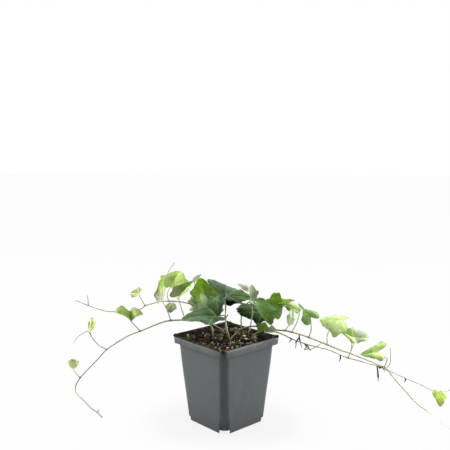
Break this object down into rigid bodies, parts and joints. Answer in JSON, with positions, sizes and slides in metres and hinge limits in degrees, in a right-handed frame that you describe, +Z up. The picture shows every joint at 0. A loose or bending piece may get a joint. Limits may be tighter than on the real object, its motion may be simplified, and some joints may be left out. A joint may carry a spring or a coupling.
{
  "type": "potted english ivy",
  "caption": "Young trailing ivy with lobed leaves and long runners, standing in a square grey plastic nursery pot of dark soil.",
  "frame": {"origin": "middle of the pot's flat foot", "axes": "+Z up, +X along the right runners, and one corner of the pot towards -Y, which faced the camera"},
  "size_m": [0.4765, 0.1366, 0.181],
  "materials": {
    "pot_plastic": "matte dark grey, faint upright streaks",
    "potting_soil": "dark crumbly potting soil",
    "young_leaf": "thin pale green leaf, soft sheen",
    "mature_leaf": "dark blue-green leaf with pale veins, soft sheen",
    "stem_bark": "grey-brown thin bark"
  },
  "bodies": {
    "root": {"pot": "pot_plastic", "soil": "potting_soil", "runner_left_low": "young_leaf", "runner_left_high": "young_leaf", "runner_right_high": "young_leaf", "runner_right_low": "young_leaf", "stem_left": "mature_leaf", "stem_middle": "mature_leaf", "stem_right": "mature_leaf", "stem_back": "mature_leaf"}
  },
  "joints": []
}
